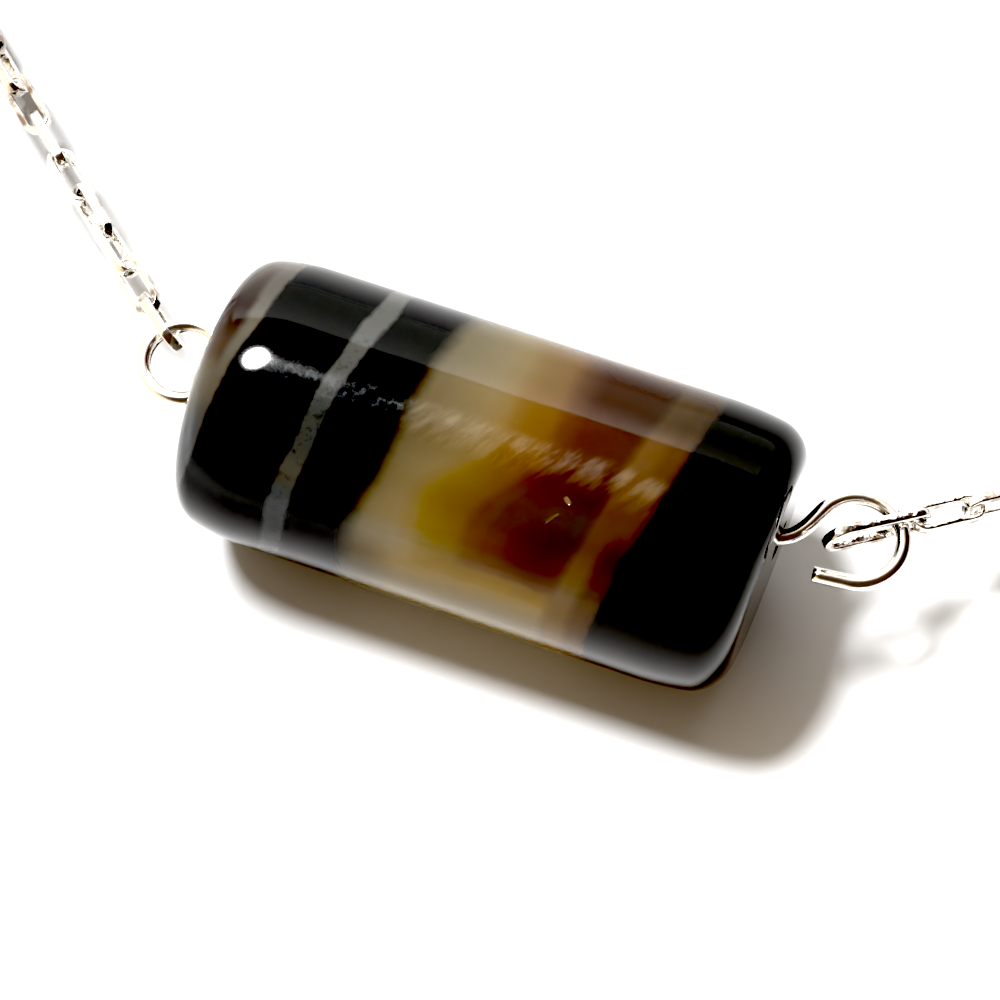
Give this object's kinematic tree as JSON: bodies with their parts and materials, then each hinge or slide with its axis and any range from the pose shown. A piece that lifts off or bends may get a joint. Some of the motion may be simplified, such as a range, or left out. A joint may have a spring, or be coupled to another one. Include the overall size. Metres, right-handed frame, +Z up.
{
  "type": "agate pendant necklace",
  "caption": "Banded agate cylinder on a silver wire with an open loop at each end, on a fine flat-link silver chain closed by a barrel clasp.",
  "frame": {"origin": "on the surface that the necklace lies on, in the middle of the box round the closed loop", "axes": "+X along the agate cylinder, +Y from the cylinder across the loop to the clasp, +Z up off the surface"},
  "size_m": [0.1427, 0.1544, 0.01],
  "materials": {
    "agate": "polished banded agate, black, grey, cream and amber",
    "silver_wire": "bright drawn silver wire",
    "silver_chain": "bright polished silver",
    "silver_clasp": "bright polished silver"
  },
  "bodies": {
    "root": {"agate_bead": "agate", "wire_pin": "silver_wire", "chain_left": "silver_chain", "chain_right": "silver_chain", "clasp": "silver_clasp"}
  },
  "joints": []
}
